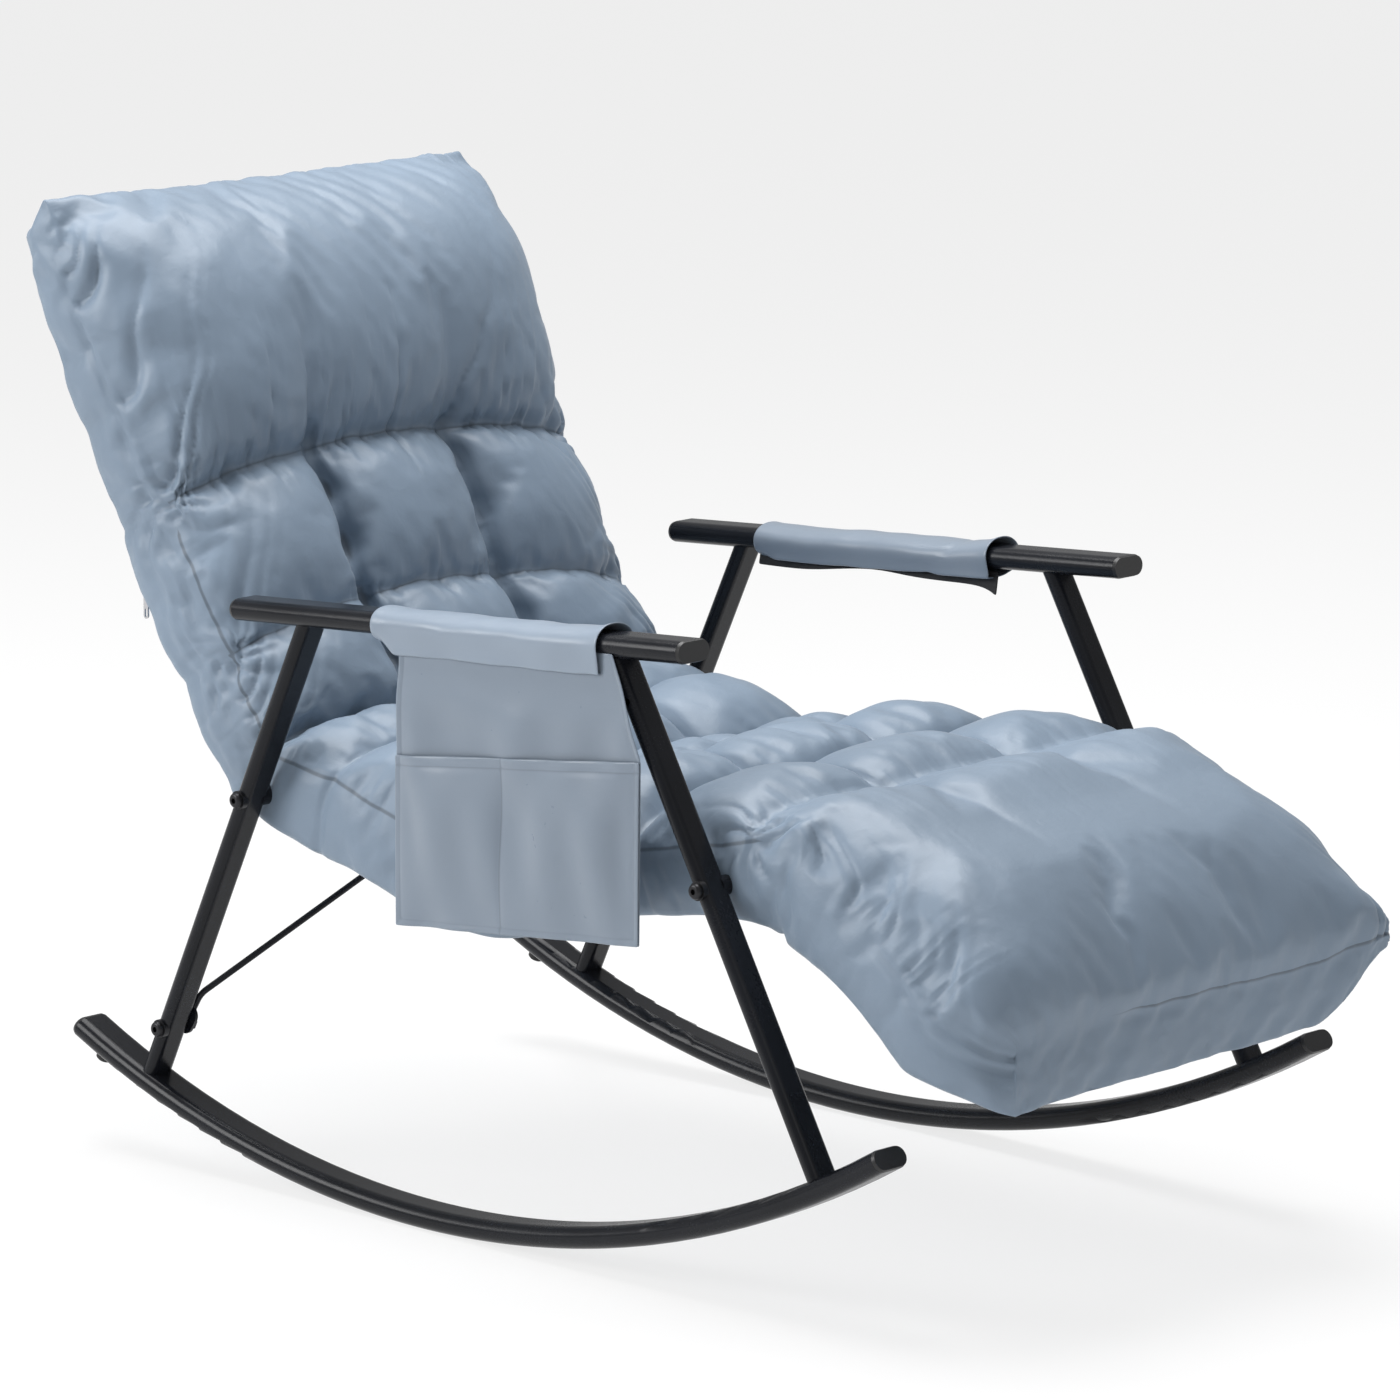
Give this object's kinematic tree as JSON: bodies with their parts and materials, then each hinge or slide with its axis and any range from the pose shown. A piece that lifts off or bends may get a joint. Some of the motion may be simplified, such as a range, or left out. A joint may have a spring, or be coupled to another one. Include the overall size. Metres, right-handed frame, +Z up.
{
  "type": "reclining rocking chair",
  "caption": "Reclining rocking chair with flat-oval tube rockers and arms, a quilted folding mattress on ratchet hinges, a foot rest, arm covers and a side pocket.",
  "frame": {"origin": "point on the floor midway between the two rockers' contact lines, in the pose in which the chair stands", "axes": "+X forward towards the feet, +Y to the sitter's left, +Z up"},
  "size_m": [1.1883, 0.6301, 0.8792],
  "materials": {
    "mattress_cloth": "satin coated blue-grey cloth",
    "cover_cloth": "satin coated blue-grey cloth, lighter",
    "webbing": "woven elastic webbing",
    "frame_coat": "satin black powder coat",
    "cap_plastic": "moulded black plastic",
    "stop_rubber": "black rubber",
    "fastener_steel": "black oxide",
    "hinge_steel": "zinc plated",
    "zip_metal": "plated zip"
  },
  "bodies": {
    "base": {"left_rocker": "frame_coat", "right_rocker": "frame_coat", "left_armrest": "frame_coat", "right_armrest": "frame_coat", "left_rear_post": "frame_coat", "right_rear_post": "frame_coat", "left_front_post": "frame_coat", "right_front_post": "frame_coat", "rocker_end_caps": "cap_plastic", "armrest_end_caps": "cap_plastic", "rear_stop_pads": "stop_rubber", "left_seat_tube": "frame_coat", "right_seat_tube": "frame_coat", "rear_cross_tube": "frame_coat", "front_cross_tube": "frame_coat", "seat_straps": "webbing", "back_hinge_ratchets": "hinge_steel", "leg_hinge_ratchets": "hinge_steel", "seat_bolts": "fastener_steel", "brace_bolts": "fastener_steel", "bolt_washers": "fastener_steel", "bolt_nuts": "fastener_steel", "seat_spacers": "frame_coat", "left_brace_rod": "frame_coat", "right_brace_rod": "frame_coat", "seat_cushion": "mattress_cloth", "seat_panel": "mattress_cloth", "right_arm_cover": "cover_cloth", "left_arm_cover": "cover_cloth", "pocket_panel": "cover_cloth", "pocket_front": "cover_cloth", "pocket_seams": "cover_cloth"},
    "backrest": {"back_cushion": "mattress_cloth", "back_panel": "mattress_cloth", "back_frame": "frame_coat", "back_cross_tube": "frame_coat", "back_straps": "webbing", "back_hinge_forks": "hinge_steel", "back_hinge_pawls": "hinge_steel", "back_hinge_pins": "hinge_steel", "zip_slider": "zip_metal", "zip_pull": "zip_metal"},
    "legrest": {"leg_cushion": "mattress_cloth", "leg_panel": "mattress_cloth", "leg_frame": "frame_coat", "leg_straps": "webbing", "leg_hinge_forks": "hinge_steel", "leg_hinge_pawls": "hinge_steel", "leg_hinge_pins": "hinge_steel"}
  },
  "joints": [
    {"name": "back_recline", "type": "hinge", "parent": "base", "child": "backrest", "pos_m": [-0.25575, 0, 0.36508], "axis": [0, 1, 0], "range_deg": [-45, 15]},
    {"name": "leg_rest_tilt", "type": "hinge", "parent": "base", "child": "legrest", "pos_m": [0.41144, 0, 0.38101], "axis": [0, 1, 0], "range_deg": [-38, 30]}
  ]
}
